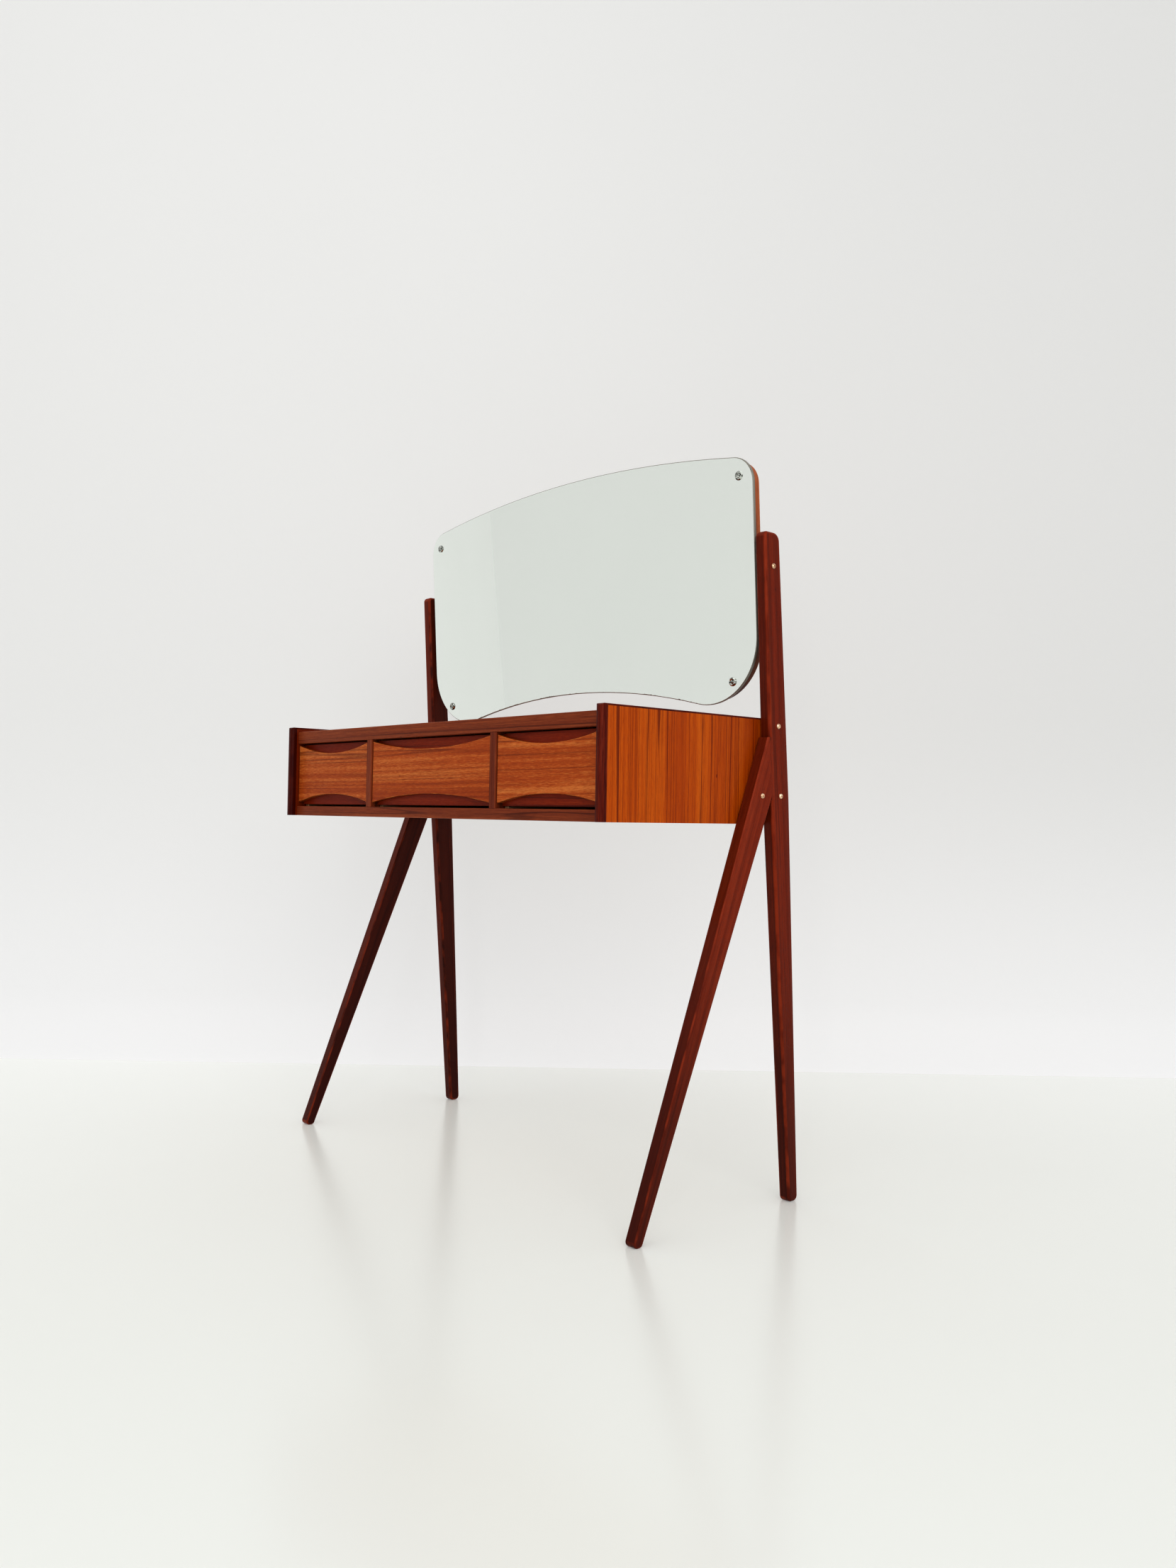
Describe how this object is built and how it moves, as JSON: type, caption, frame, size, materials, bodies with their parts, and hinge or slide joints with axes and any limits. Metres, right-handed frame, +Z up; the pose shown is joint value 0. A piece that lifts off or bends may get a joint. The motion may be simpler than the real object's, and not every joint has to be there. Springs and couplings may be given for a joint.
{
  "type": "vanity table with mirror",
  "caption": "Dressing table with a shallow three-drawer casing held between two splayed side frames, and a tilting mirror hung between their tall rear posts.",
  "frame": {"origin": "on the floor, in the middle of the object's box", "axes": "+Z up, +X to the sitter's right, the sitter on the -Y side"},
  "size_m": [1.0078, 0.459, 1.3167],
  "materials": {
    "frame_wood": "satin lacquer",
    "solid_teak": "satin lacquer",
    "plate_teak": "satin lacquer, grain level",
    "board_mahogany": "satin lacquer",
    "teak_veneer": "satin lacquer",
    "board_veneer": "satin lacquer",
    "blockboard": "bare",
    "plywood": "bare",
    "beech": "waxed",
    "runner_wood": "bare",
    "brass": "polished, slightly dulled",
    "fibre_washer": "matt",
    "chrome": "polished",
    "bush": "matt",
    "steel": "bright",
    "mirror": "silvered float glass"
  },
  "bodies": {
    "table": {"back_panel": "plywood", "back_panel_pins": "steel", "bottom_front_rail": "solid_teak", "bottom_panel": "plywood", "divider_left": "blockboard", "divider_lipping_left": "solid_teak", "divider_lipping_right": "solid_teak", "divider_right": "blockboard", "drawer_bearers": "runner_wood", "drawer_kickers": "runner_wood", "drawer_stops": "runner_wood", "frame_screws_left": "brass", "frame_screws_right": "brass", "front_leg_left": "frame_wood", "front_leg_right": "frame_wood", "front_lipping_left": "solid_teak", "front_lipping_right": "solid_teak", "leg_dowels_left": "runner_wood", "leg_dowels_right": "runner_wood", "rear_post_left": "frame_wood", "rear_post_right": "frame_wood", "side_panel_left": "teak_veneer", "side_panel_right": "teak_veneer", "table_top": "teak_veneer", "top_front_rail": "solid_teak", "top_lipping_left": "solid_teak", "top_lipping_right": "solid_teak"},
    "left_drawer": {"drawer_left_back": "beech", "drawer_left_bottom": "plywood", "drawer_left_front_board": "board_mahogany", "drawer_left_front_plate": "plate_teak", "drawer_left_side_left": "beech", "drawer_left_side_right": "beech"},
    "centre_drawer": {"drawer_centre_back": "beech", "drawer_centre_bottom": "plywood", "drawer_centre_front_board": "board_mahogany", "drawer_centre_front_plate": "plate_teak", "drawer_centre_side_left": "beech", "drawer_centre_side_right": "beech"},
    "right_drawer": {"drawer_right_back": "beech", "drawer_right_bottom": "plywood", "drawer_right_front_board": "board_mahogany", "drawer_right_front_plate": "plate_teak", "drawer_right_side_left": "beech", "drawer_right_side_right": "beech"},
    "mirror": {"cup_washers": "chrome", "glass_bushes": "bush", "mirror_board": "board_veneer", "mirror_edge_band": "teak_veneer", "mirror_glass": "mirror", "mirror_screws": "chrome", "pivot_screw_left": "brass", "pivot_screw_right": "brass", "pivot_spacer_left": "fibre_washer", "pivot_spacer_right": "fibre_washer"}
  },
  "joints": [
    {"name": "left_drawer_slide", "type": "slide", "parent": "table", "child": "left_drawer", "axis": [0, -1, 0], "range_m": [0, 0.28]},
    {"name": "centre_drawer_slide", "type": "slide", "parent": "table", "child": "centre_drawer", "axis": [0, -1, 0], "range_m": [0, 0.28]},
    {"name": "right_drawer_slide", "type": "slide", "parent": "table", "child": "right_drawer", "axis": [0, -1, 0], "range_m": [0, 0.28]},
    {"name": "mirror_tilt", "type": "hinge", "parent": "table", "child": "mirror", "pos_m": [0, 0.14115, 1.087], "axis": [1, 0, 0], "range_deg": [-60, 60]}
  ]
}
